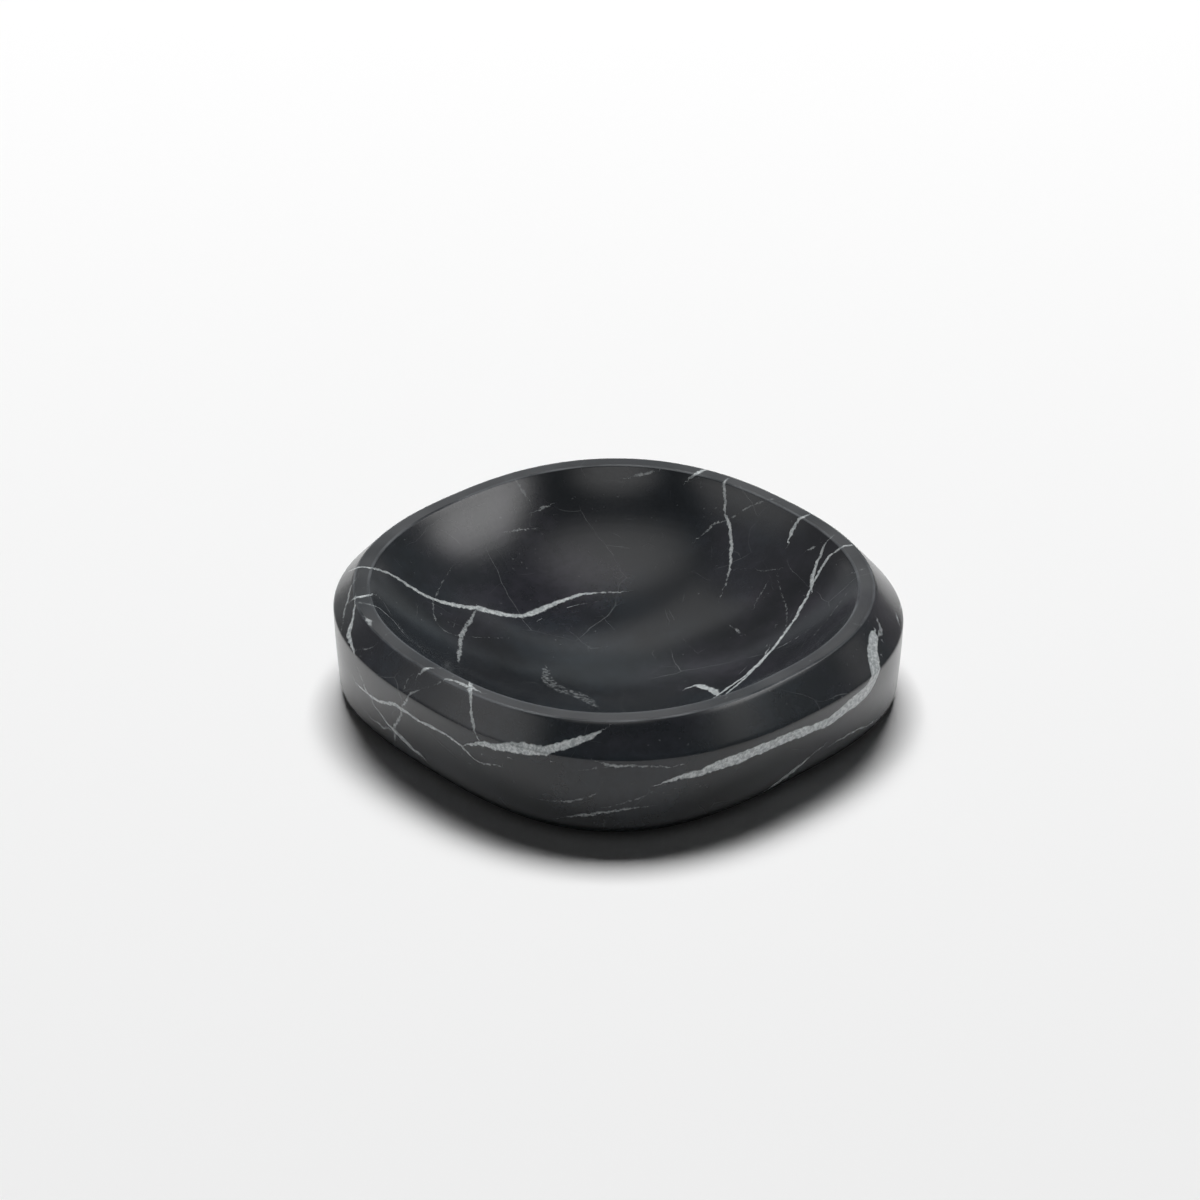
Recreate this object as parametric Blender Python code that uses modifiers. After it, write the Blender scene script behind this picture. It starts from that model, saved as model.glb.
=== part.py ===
"""Marble bowl: a carved, rounded-square dish with a chamfered rim, standing on four soft pads.

Metres, +Z up. The origin is on the surface the bowl stands on, under the middle of its base.
The flats face along X and Y, and the soft corners lie on the diagonals.
"""
import math
from dataclasses import dataclass

import bmesh
import bpy
from mathutils import Vector

# Stone, outside. Widths are taken across the flats.
BODY_WIDTH = 0.142  # at the crease, the widest line of the bowl
STONE_HEIGHT = 0.0309  # flat base to rim
CHAMFER_WIDTH = 0.0063  # how far the chamfer slopes out from the rim to the crease
CHAMFER_DROP = 0.0074  # how far it slopes down, at mid side
WALL_DRAFT = 0.0038  # how far the wall leans in from the crease to the base round
BASE_ROUND_RADIUS = 0.0045

# Stone, inside
RIM_LAND_WIDTH = 0.0036  # flat band between the mouth and the chamfer
FLOOR_THICKNESS = 0.0063  # stone left under the middle of the dish
DISH_WALL_ANGLE = math.radians(47)  # how steeply the dish drops away from the mouth, at mid side

# The mouth was cut a little off centre, and the chamfer runs deeper at the far corner
MOUTH_SHIFT = 0.0012
MOUTH_SHIFT_DIRECTION = Vector((-1, 1)).normalized()
CREASE_SLOPE_ANGLE = math.radians(1.25)

# Softened edges
RIM_EDGE_ROUND = 0.0006
CREASE_EDGE_ROUND = 0.0004

# Pads, each in a shallow recess in the base
PAD_DIAMETER = 0.0120
PAD_THICKNESS = 0.0015
PAD_PROUD = 0.0008  # how far a pad stands below the stone
PAD_EDGE_ROUND = 0.0004
PAD_CIRCLE_RADIUS = 0.0520
PAD_COUNT = 4
SEAT_GAP = 0.0003  # between a pad and its recess, all round
CUT_OVERRUN = 0.0010

# Outline of a level section: 2 is a circle, and a larger value is a squarer outline
RIM_SQUARENESS = 2.38
MOUTH_SQUARENESS = 2.35
WALL_FOOT_SQUARENESS = 2.79
BASE_SQUARENESS = 2.99
DISH_FLOOR_SQUARENESS = 2.0

# Facets
RING_POINTS = 72
BASE_ROUND_STEPS = 6
DISH_STEPS = 13
EDGE_ROUND_SEGMENTS = 2
PAD_STEPS = 32
PAD_EDGE_STEPS = 2
MERGE_SHARE = 0.025  # of a pad's edge round, within which points on its axis are joined
SHARP_EDGE_ANGLE = math.radians(32)

STONE_COLOUR = (0.045, 0.047, 0.054, 1.0)
STONE_ROUGHNESS = 0.30
PAD_COLOUR = (0.030, 0.030, 0.032, 1.0)
PAD_ROUGHNESS = 0.85


@dataclass
class Section:
    """One closed outline of the bowl, level or sloping."""

    half_width: float
    squareness: float
    height: float
    centre: Vector
    slope: float = 0.0  # rise per metre towards the corner that the mouth is shifted to

    def point(self, angle):
        """Point of the outline in the direction of angle, seen from above."""
        across = abs(math.cos(angle)) ** self.squareness
        along = abs(math.sin(angle)) ** self.squareness
        radius = self.half_width / (across + along) ** (1 / self.squareness)
        spot = Vector((math.cos(angle), math.sin(angle))) * radius + self.centre
        rise = self.slope * spot.dot(MOUTH_SHIFT_DIRECTION)
        return Vector((spot.x, spot.y, self.height + rise))


def blend(start, end, share):
    """Value that lies a share of the way from start to end."""
    return start + (end - start) * share


def base_sections():
    """Outlines from the flat base up round the base edge to the foot of the wall."""
    crease_half = BODY_WIDTH / 2
    foot_half = crease_half - WALL_DRAFT
    lean = math.atan2(WALL_DRAFT, STONE_HEIGHT - CHAMFER_DROP - BASE_ROUND_RADIUS)
    middle = Vector((0, 0))
    sections = []
    for step in range(BASE_ROUND_STEPS + 1):
        share = step / BASE_ROUND_STEPS
        angle = blend(math.pi / 2, lean, share)
        inward = BASE_ROUND_RADIUS * (math.cos(lean) - math.cos(angle))
        lift = BASE_ROUND_RADIUS * (1 - math.sin(angle))
        squareness = blend(BASE_SQUARENESS, WALL_FOOT_SQUARENESS, share)
        sections.append(Section(foot_half - inward, squareness, PAD_PROUD + lift, middle))
    return sections


def rim_sections():
    """Crease, outer edge of the rim and edge of the mouth, in that order."""
    rim_height = PAD_PROUD + STONE_HEIGHT
    mouth_centre = MOUTH_SHIFT_DIRECTION * MOUTH_SHIFT
    rim_half = BODY_WIDTH / 2 - CHAMFER_WIDTH
    return [
        Section(BODY_WIDTH / 2, RIM_SQUARENESS, rim_height - CHAMFER_DROP, Vector((0, 0)),
                math.tan(CREASE_SLOPE_ANGLE)),
        Section(rim_half, RIM_SQUARENESS, rim_height, mouth_centre),
        Section(rim_half - RIM_LAND_WIDTH, MOUTH_SQUARENESS, rim_height, mouth_centre),
    ]


def dish_sections():
    """Outlines down the hollow, from just under the mouth to a small ring round its middle.

    The hollow's profile is the part of an ellipse that starts at the mouth with the wall's
    steepness and is level in the middle.
    """
    mouth = rim_sections()[-1]
    depth = STONE_HEIGHT - FLOOR_THICKNESS
    start_height_share = depth / (math.tan(DISH_WALL_ANGLE) * mouth.half_width - depth)
    start = math.asin(start_height_share)
    sections = []
    for step in range(1, DISH_STEPS):
        angle = blend(start, math.pi / 2, step / DISH_STEPS)
        width_share = math.cos(angle) / math.cos(start)
        depth_share = (math.sin(angle) - start_height_share) / (1 - start_height_share)
        squareness = blend(DISH_FLOOR_SQUARENESS, MOUTH_SQUARENESS, width_share)
        sections.append(Section(mouth.half_width * width_share, squareness,
                                mouth.height - depth * depth_share, mouth.centre))
    return sections


def add_ring(mesh, section):
    """Points all round a section."""
    return [mesh.verts.new(section.point(math.tau * index / RING_POINTS)) for index in range(RING_POINTS)]


def steps_round(ring):
    """Each point of a ring with the next one."""
    return list(zip(ring, ring[1:] + ring[:1]))


def loft(mesh, rings):
    """Skin from each ring to the next."""
    for lower, upper in zip(rings, rings[1:]):
        for low, high in zip(steps_round(lower), steps_round(upper)):
            mesh.faces.new((low[0], low[1], high[1], high[0]))


def soften_ring(mesh, ring, edge_round, weights):
    """Mark a ring's edges for the Bevel modifier, whose full width is RIM_EDGE_ROUND."""
    for step in steps_round(ring):
        mesh.edges.get(step)[weights] = edge_round / RIM_EDGE_ROUND


def stone_mesh():
    """Closed loft through the base, the wall, the rim and the dish."""
    mesh = bmesh.new()
    weights = mesh.edges.layers.float.new("bevel_weight_edge")
    sections = base_sections() + rim_sections() + dish_sections()
    rings = [add_ring(mesh, section) for section in sections]
    loft(mesh, rings)
    mesh.faces.new(reversed(rings[0]))
    middle = bmesh.ops.poke(mesh, faces=[mesh.faces.new(rings[-1])])["verts"][0]
    middle.co.z = PAD_PROUD + FLOOR_THICKNESS
    crease, rim, mouth = rings[len(base_sections()):][:3]
    soften_ring(mesh, crease, CREASE_EDGE_ROUND, weights)
    soften_ring(mesh, rim, RIM_EDGE_ROUND, weights)
    soften_ring(mesh, mouth, RIM_EDGE_ROUND, weights)
    data = bpy.data.meshes.new("bowl_body")
    mesh.to_mesh(data)
    mesh.free()
    return data


def smooth(data):
    """Smooth shading that keeps the real edges sharp."""
    data.shade_smooth()
    data.set_sharp_from_angle(angle=SHARP_EDGE_ANGLE)


def make_material(name, colour, roughness):
    """Principled material of one colour, not metallic."""
    material = bpy.data.materials.new(name)
    material.use_nodes = True
    shader = material.node_tree.nodes["Principled BSDF"]
    shader.inputs["Base Color"].default_value = colour
    shader.inputs["Roughness"].default_value = roughness
    shader.inputs["Metallic"].default_value = 0.0
    return material


def make_collection(name):
    """Collection in the scene."""
    collection = bpy.data.collections.new(name)
    bpy.context.scene.collection.children.link(collection)
    return collection


def pad_places():
    """Middle of each pad on the underside, one near each corner."""
    for index in range(PAD_COUNT):
        angle = math.tau * (index + 0.5) / PAD_COUNT
        yield Vector((math.cos(angle), math.sin(angle), 0)) * PAD_CIRCLE_RADIUS


def make_recess_cutter(name, place, collection):
    """Cylinder that cuts a pad's recess up into the base."""
    depth = PAD_THICKNESS - PAD_PROUD + SEAT_GAP + CUT_OVERRUN
    radius = PAD_DIAMETER / 2 + SEAT_GAP
    mesh = bmesh.new()
    bmesh.ops.create_cone(mesh, cap_ends=True, segments=PAD_STEPS, radius1=radius, radius2=radius,
                          depth=depth)
    data = bpy.data.meshes.new(name)
    mesh.to_mesh(data)
    mesh.free()
    cutter = bpy.data.objects.new(name, data)
    cutter.location = place + Vector((0, 0, PAD_PROUD - CUT_OVERRUN + depth / 2))
    cutter.hide_render = True
    cutter.display_type = "WIRE"
    collection.objects.link(cutter)
    return cutter


def make_stone(parts, cutters):
    """The bowl itself, one piece of stone with its edges softened and four recesses below."""
    body = bpy.data.objects.new("bowl_body", stone_mesh())
    parts.objects.link(body)
    body.data.materials.append(make_material("dark_marble", STONE_COLOUR, STONE_ROUGHNESS))
    soften = body.modifiers.new("softened_edges", "BEVEL")
    soften.limit_method = "WEIGHT"
    soften.width = RIM_EDGE_ROUND
    soften.segments = EDGE_ROUND_SEGMENTS
    for index, place in enumerate(pad_places(), start=1):
        cutter = make_recess_cutter(f"pad_recess_cutter_{index}", place, cutters)
        recess = body.modifiers.new(f"pad_recess_{index}", "BOOLEAN")
        recess.operation = "DIFFERENCE"
        recess.solver = "EXACT"
        recess.object = cutter
    smooth(body.data)


def pad_profile():
    """Half outline of a pad, from the middle of its top down round its edge to its middle below."""
    radius = PAD_DIAMETER / 2
    points = [(0, PAD_THICKNESS), (radius, PAD_THICKNESS)]
    for step in range(PAD_EDGE_STEPS + 1):
        angle = math.pi / 2 * step / PAD_EDGE_STEPS
        across = radius - PAD_EDGE_ROUND * (1 - math.cos(angle))
        points.append((across, PAD_EDGE_ROUND * (1 - math.sin(angle))))
    points.append((0, 0))
    return points


def pad_mesh():
    """Open profile that the Screw modifier turns into a pad."""
    mesh = bmesh.new()
    verts = [mesh.verts.new((across, 0, height)) for across, height in pad_profile()]
    for upper, lower in zip(verts, verts[1:]):
        mesh.edges.new((upper, lower))
    data = bpy.data.meshes.new("base_pad")
    mesh.to_mesh(data)
    mesh.free()
    return data


def make_pads(parts):
    """Four alike pads, seated in the recesses and standing on the surface below."""
    profile = pad_mesh()
    profile.materials.append(make_material("soft_pad", PAD_COLOUR, PAD_ROUGHNESS))
    for index, place in enumerate(pad_places(), start=1):
        pad = bpy.data.objects.new(f"base_pad_{index}", profile)
        parts.objects.link(pad)
        pad.location = place
        turn = pad.modifiers.new("turned", "SCREW")
        turn.axis = "Z"
        turn.angle = math.tau
        turn.steps = PAD_STEPS
        turn.render_steps = PAD_STEPS
        turn.use_merge_vertices = True
        turn.merge_threshold = PAD_EDGE_ROUND * MERGE_SHARE


def main():
    """Clear the scene and make the bowl."""
    for thing in list(bpy.data.objects):
        bpy.data.objects.remove(thing)
    parts = make_collection("marble_bowl")
    cutters = make_collection("marble_bowl_cutters")
    make_stone(parts, cutters)
    make_pads(parts)


main()
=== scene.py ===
"""Looks of the marble bowl: dark veined stone on soft pads, on a pale floor in soft studio light.

Metres and +Z up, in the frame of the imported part. The flats of the bowl face along X and Y.
"""

import logging
import math
from dataclasses import astuple, dataclass, field
from enum import IntEnum

import bmesh
import bpy
import numpy as np
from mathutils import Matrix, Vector


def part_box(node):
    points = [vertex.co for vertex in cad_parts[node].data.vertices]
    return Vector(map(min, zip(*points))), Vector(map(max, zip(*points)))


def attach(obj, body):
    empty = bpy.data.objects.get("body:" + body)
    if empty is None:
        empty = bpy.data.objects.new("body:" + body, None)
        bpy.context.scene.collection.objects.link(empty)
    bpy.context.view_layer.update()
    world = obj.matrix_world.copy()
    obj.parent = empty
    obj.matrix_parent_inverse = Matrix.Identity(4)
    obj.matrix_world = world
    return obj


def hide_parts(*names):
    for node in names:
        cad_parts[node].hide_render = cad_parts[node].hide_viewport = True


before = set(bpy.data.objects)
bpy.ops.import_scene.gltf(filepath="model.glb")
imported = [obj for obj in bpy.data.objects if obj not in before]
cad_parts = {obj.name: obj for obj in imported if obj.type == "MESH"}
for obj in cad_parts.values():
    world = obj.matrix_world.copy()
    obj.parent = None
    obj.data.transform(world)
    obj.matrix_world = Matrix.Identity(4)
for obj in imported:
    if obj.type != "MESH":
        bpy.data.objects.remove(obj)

LOG = logging.getLogger("marble_bowl")
MM = 0.001
PHOTO_SIZE = 1200
SHEET_SIZE = 1
SMOOTH_ANGLE = math.radians(30)
LAYER_NAME = "vein_{}"
PAD_NODES = ("base_pad_1", "base_pad_2", "base_pad_3", "base_pad_4")
SHIFT_WAY = np.array([-1.0, 1.0]) / math.sqrt(2)  # towards the corner that the mouth is shifted to

Colour = tuple[float, float, float]
Ramp = tuple[float, ...]
Value = float | Colour | bpy.types.NodeSocket


class Line(IntEnum):
    """Lines round the bowl, in order along its profile from the middle of the dish to the base."""

    MIDDLE = 0
    MOUTH = 1
    RIM = 2
    CREASE = 3
    FOOT = 4
    BASE = 5


@dataclass(frozen=True)
class Outline:
    """One closed line round the bowl: a rounded square whose sides bow out."""

    half_width: float
    squareness: float
    height: float
    shift: float = 0.0
    slope: float = 0.0

    def points(self, bearings: np.ndarray) -> np.ndarray:
        """Points of the line in the given directions.

        Args:
            bearings: Directions seen from above, in radians from +X.

        Returns:
            One row of x, y and z for each direction.
        """
        across, along = np.cos(bearings), np.sin(bearings)
        power = self.squareness
        reach = self.half_width / (np.abs(across) ** power + np.abs(along) ** power) ** (1 / power)
        x = reach * across + self.shift * SHIFT_WAY[0]
        y = reach * along + self.shift * SHIFT_WAY[1]
        z = self.height + self.slope * (x * SHIFT_WAY[0] + y * SHIFT_WAY[1])
        return np.stack([x, y, z], axis=-1)

    def toward(self, other: "Outline", share: float) -> "Outline":
        """Line that lies a share of the way from this one to another."""
        return Outline(*(a + (b - a) * share for a, b in zip(astuple(self), astuple(other))))

    def distance(self, other: "Outline") -> float:
        """Distance to another line in the profile at mid side."""
        return math.hypot(self.half_width - other.half_width, self.height - other.height)


@dataclass(frozen=True)
class Vein:
    """One pale vein in the skin of the stone."""

    name: str
    route: tuple[tuple[float, float], ...]  # pixels of the photo, or else bearings and levels
    widths: tuple[float, ...]  # millimetres, evenly spaced from its start to its end
    strength: float = 0.7

    def width_at(self, along: np.ndarray) -> np.ndarray:
        """Width in millimetres at each share of the length."""
        return np.interp(along, np.linspace(0, 1, len(self.widths)), self.widths)


SEEN_VEINS = (
    Vein("front_left_band", ((464, 745), (483, 744), (493, 747), (505, 747), (518, 749), (533, 750),
                             (546, 750), (558, 747), (571, 743), (580, 740), (592, 736), (604, 729)),
         (0.3, 0.8, 1.9, 2.4, 3.0, 3.2, 2.5, 2.3, 1.9, 1.4, 0.2), 1.0),
    Vein("left_wall_line", ((357, 667), (360, 674), (363, 682), (367, 692), (372, 697), (377, 700),
                            (386, 703), (393, 704), (401, 709), (408, 713), (414, 718), (421, 722),
                            (428, 725), (439, 731), (451, 738), (462, 747), (473, 758), (482, 763),
                            (497, 765)), (0.3, 0.6, 1.3, 1.1, 1.4, 1.0, 1.0, 0.8, 0.7, 0.4, 0.2), 0.85),
    Vein("left_wall_upper", ((353, 677), (356, 683), (361, 688), (367, 693)), (0.2, 0.8, 0.9), 0.7),
    Vein("left_wall_low", ((372, 698), (373, 704), (377, 709), (382, 716), (387, 723), (393, 729),
                           (398, 734), (403, 739), (408, 744), (414, 750), (420, 754), (426, 761)),
         (0.5, 0.5, 0.7, 0.8, 1.5, 1.9, 1.4, 1.2, 0.2), 0.8),
    Vein("left_wall_twin", ((365, 711), (372, 719), (379, 723), (383, 728), (388, 728), (393, 731)),
         (0.3, 0.7, 0.7), 0.6),
    Vein("left_wall_link", ((421, 689), (414, 692), (409, 695), (406, 701), (402, 707), (401, 714),
                            (398, 721), (394, 728), (395, 736), (395, 743)),
         (0.4, 0.7, 0.6, 0.8, 0.5), 0.6),
    Vein("left_chamfer_hair", ((416, 669), (411, 676), (407, 682), (404, 690)), (0.2, 0.4, 0.3), 0.35),
    Vein("chamfer_drop", ((470, 684), (470, 694), (471, 707), (473, 722), (475, 732), (480, 742)),
         (0.8, 1.0, 0.9, 0.8, 0.5, 0.2), 0.85),
    Vein("land_cross_left", ((422, 672), (425, 669), (429, 668), (433, 668)), (0.5, 1.0, 0.4), 0.8),
    Vein("land_cross_front", ((440, 682), (446, 679), (452, 680), (458, 682), (467, 686), (474, 689),
                              (482, 693)), (0.3, 0.8, 0.8, 0.9, 0.3), 0.65),
    Vein("left_chamfer_white", ((356, 596), (354, 610), (352, 622), (349, 632), (350, 640), (354, 653)),
         (0.3, 0.6, 0.9, 1.7, 1.3, 0.6), 0.9),
    Vein("left_chamfer_edge", ((357, 577), (351, 587), (348, 600), (344, 612), (343, 622), (341, 632)),
         (0.3, 0.7, 0.6, 0.2), 0.6),
    Vein("left_land_short", ((355, 598), (363, 596), (372, 595)), (0.6, 1.2, 0.6), 0.9),
    Vein("left_land_second", ((356, 603), (363, 603), (377, 607), (385, 613), (393, 620), (401, 630),
                              (410, 640), (424, 650)), (0.4, 0.6, 0.5, 0.5, 0.3, 0.1), 0.6),
    Vein("left_land_spot", ((366, 618), (369, 621), (371, 625)), (0.5, 1.3, 0.4), 0.6),
    Vein("left_chamfer_curve", ((356, 650), (367, 649), (373, 647), (379, 642), (386, 636)),
         (0.2, 0.5, 0.2), 0.5),
    Vein("left_dish_thin", ((385, 605), (390, 613), (397, 622), (405, 633), (413, 640)),
         (0.3, 0.4, 0.1), 0.5),
    Vein("left_main", ((334, 596), (336, 584), (341, 577), (349, 571), (361, 567), (377, 569), (392, 575),
                       (408, 585), (424, 595), (436, 600), (446, 603), (464, 607), (477, 608), (490, 611),
                       (507, 615), (522, 616), (540, 610), (556, 603), (585, 594), (620, 592)),
         (0.3, 0.7, 0.7, 0.9, 1.1, 1.5, 1.8, 1.4, 1.5, 1.1, 0.7, 0.1), 0.85),
    Vein("left_fork", ((476, 609), (471, 619), (465, 628), (461, 638), (460, 649), (458, 661)),
         (0.4, 1.1, 1.3, 1.2, 1.4, 0.5), 0.50),
    Vein("left_loop", ((450, 571), (444, 579), (438, 590), (434, 601), (434, 614), (439, 626), (452, 634),
                       (470, 637), (500, 638)), (0.2, 0.5, 0.5, 0.4, 0.1), 0.45),
    Vein("front_dish_cloud", ((546, 670), (549, 681), (561, 690), (575, 694), (587, 700), (595, 706)),
         (1.8, 4.0, 4.6, 4.0, 1.8), 0.22),
    Vein("crease_dash", ((594, 760), (608, 765), (620, 766), (642, 766), (664, 767), (676, 766)),
         (0.3, 0.8, 0.6, 0.5, 0.4), 0.55),
    Vein("wall_dash", ((583, 770), (600, 767), (612, 767)), (0.2, 0.4, 0.2), 0.35),
    Vein("front_low_1", ((559, 818), (574, 816), (586, 815), (600, 813), (619, 810), (633, 808),
                         (645, 807)), (0.2, 0.7, 0.9, 0.8, 0.6, 0.3), 0.55),
    Vein("front_low_2", ((610, 806), (620, 804), (642, 797), (662, 786)), (0.2, 0.4, 0.4), 0.40),
    Vein("front_low_3", ((540, 799), (550, 801), (570, 801), (580, 799), (591, 796)),
         (0.2, 0.5, 0.7, 0.3), 0.45),
    Vein("right_band", ((662, 783), (671, 780), (680, 777), (690, 775), (700, 773), (711, 768),
                        (720, 765), (731, 761), (742, 757), (753, 752), (764, 748), (776, 743),
                        (788, 738), (800, 733), (811, 729), (820, 725), (829, 721), (839, 714),
                        (848, 706), (860, 697), (867, 690), (873, 681), (876, 674), (875, 668),
                        (873, 656), (873, 645), (874, 637)),
         (0.5, 1.3, 2.3, 3.1, 3.5, 3.6, 3.5, 3.4, 3.2, 3.2, 3.8, 4.6, 5.0, 4.6, 4.4, 3.4), 1.0),
    Vein("right_chamfer_spot", ((880, 626), (881, 630), (877, 637)), (1.0, 1.6, 0.3), 0.5),
    Vein("right_chamfer_line", ((894, 608), (897, 617), (901, 630)), (0.3, 0.7, 0.3), 0.55),
    Vein("right_low_1", ((760, 794), (773, 786), (784, 778), (796, 769), (809, 757), (821, 748)),
         (0.3, 0.9, 1.1, 0.9, 0.6, 0.3), 0.75),
    # right_low_2: a pale line laid along the top of the rounded base at the lower right
    Vein("right_low_2", ((834, 743), (841, 739), (849, 734), (863, 727), (871, 723), (879, 717),
                         (886, 706)), (0.4, 0.8, 0.6, 0.5, 0.3), 0.6),
    # painted highlight: a pale line along the rounded base at the lower right, laid like a vein, standing in
    # for the light that edge catches
    Vein("right_wall_faint", ((704, 817), (717, 812), (731, 807), (753, 797)), (0.2, 0.5, 0.3), 0.4),
    Vein("right_land_1", ((853, 573), (861, 570), (869, 568)), (0.2, 0.5, 0.3), 0.55),
    Vein("right_land_2", ((851, 622), (857, 625), (864, 624)), (0.2, 0.4, 0.2), 0.45),
    Vein("right_main", ((859, 544), (853, 545), (845, 546), (836, 551), (828, 558), (819, 572),
                        (812, 585), (807, 597), (799, 611), (795, 619), (782, 637), (770, 652),
                        (758, 664), (745, 676), (729, 687), (717, 696)),
         (0.5, 0.7, 0.9, 0.8, 0.7, 0.9, 1.0, 1.3, 1.0, 1.1, 0.7), 0.9),
    Vein("right_join", ((832, 537), (825, 544), (820, 556), (815, 568), (812, 580), (811, 587)),
         (0.3, 0.6, 0.8, 1.1, 0.8), 0.8),
    Vein("right_twin", ((769, 648), (766, 653), (762, 662), (754, 669), (743, 680), (726, 694)),
         (0.4, 0.7, 1.0, 0.6, 0.5, 0.3), 0.8),
    Vein("right_branch", ((770, 651), (786, 644), (801, 635), (808, 630)), (0.4, 0.5, 0.4, 0.1), 0.5),
    Vein("right_blob", ((687, 688), (698, 685), (705, 688), (711, 689), (718, 695)),
         (0.5, 1.9, 2.0, 1.8, 1.0), 0.85),
    Vein("right_spot", ((735, 628), (740, 633)), (0.5, 1.0, 0.5), 0.35),
    Vein("back_right_short", ((711, 469), (702, 471), (695, 475), (691, 478)), (0.7, 1.0, 0.9, 0.4), 0.85),
    Vein("back_right_long", ((735, 476), (727, 479), (724, 485), (725, 500), (725, 514), (728, 521),
                             (730, 530), (731, 540), (731, 560), (727, 580), (720, 597)),
         (0.4, 0.8, 0.6, 0.8, 1.0, 0.9, 0.6, 0.3, 0.1), 0.75),
    Vein("back_right_thin", ((773, 499), (760, 502), (749, 507), (738, 514), (727, 520), (715, 524),
                             (707, 531), (699, 538)), (0.3, 0.45, 0.4, 0.45, 0.5, 0.25), 0.60),
    Vein("back_right_bright", ((810, 514), (800, 519), (794, 526), (790, 537)), (0.4, 0.8, 1.2, 1.0), 0.9),
    Vein("right_speck", ((809, 550), (815, 546)), (0.3, 0.7, 0.3), 0.6),
    Vein("right_cross", ((739, 569), (751, 568), (763, 571), (777, 569)), (0.2, 0.4, 0.3), 0.4),
    Vein("right_curve", ((777, 574), (780, 588), (784, 600), (787, 613), (786, 626), (782, 635)),
         (0.2, 0.5, 0.3), 0.4),
    Vein("right_dash", ((766, 585), (759, 597), (754, 606)), (0.3, 0.6, 0.3), 0.45),
    Vein("right_grain_1", ((848, 592), (836, 608), (823, 626)), (0.1, 0.4, 0.2), 0.35),
    Vein("right_grain_2", ((833, 611), (823, 624), (812, 638)), (0.1, 0.4, 0.2), 0.3),
    Vein("back_left_faint", ((509, 532), (519, 530), (531, 529)), (0.3, 0.7, 0.3), 0.60),
    Vein("back_left_dash", ((538, 511), (543, 508), (549, 506)), (0.4, 1.0, 0.5), 0.45),
    Vein("back_left_chain", ((516, 480), (522, 490), (528, 499)), (0.6, 1.0, 0.5), 0.3),
    Vein("back_streak", ((632, 477), (643, 474), (656, 471)), (0.5, 1.0, 0.5), 0.42),
)
HIDDEN_VEINS = (
    Vein("back_band", ((104, 2.35), (96, 2.7), (88, 3.1), (78, 3.3), (66, 3.45), (52, 3.8), (44, 4.3)),
         (0.3, 1.4, 2.2, 2.9, 2.6, 2.2, 1.2, 0.3), 0.95),
    Vein("back_line", ((128, 3.1), (118, 3.4), (104, 3.55), (92, 3.75), (84, 4.2)),
         (0.2, 0.9, 0.8, 0.9, 0.3), 0.75),
    Vein("back_chamfer", ((62, 2.05), (56, 2.4), (54, 2.8), (50, 3.2), (43, 3.5)),
         (0.4, 1.1, 0.8, 0.7, 0.2), 0.8),
    Vein("back_long", ((36, 2.2), (27, 2.6), (17, 3.0), (8, 3.35), (-4, 3.5), (-16, 3.85), (-24, 4.3)),
         (0.3, 0.9, 1.2, 1.0, 1.2, 0.8, 0.3), 0.8),
    Vein("side_band", ((-4, 2.6), (-12, 2.9), (-19, 3.2), (-28, 3.3), (-36, 3.15), (-44, 2.85)),
         (0.3, 1.3, 2.0, 1.7, 1.0, 0.3), 0.85),
    Vein("side_link", ((8, 3.35), (4, 3.0), (-3, 2.75), (-6, 2.3)), (0.3, 0.6, 0.3), 0.55),
    Vein("side_low", ((-30, 3.9), (-40, 3.6), (-50, 3.55), (-58, 3.8)), (0.3, 0.9, 0.7, 0.3), 0.6),
    Vein("back_low", ((70, 4.1), (60, 3.9), (48, 4.0), (34, 3.8), (22, 4.1)), (0.2, 0.6, 0.7, 0.4), 0.5),
)


@dataclass(frozen=True)
class Noise:
    """One noise texture."""

    size: float  # width of its patches, in metres
    detail: float = 2.0
    roughness: float = 0.5


@dataclass(frozen=True)
class Crack:
    """One set of fine hairlines along the edges of cells."""

    size: float
    width: float
    strength: float


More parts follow.
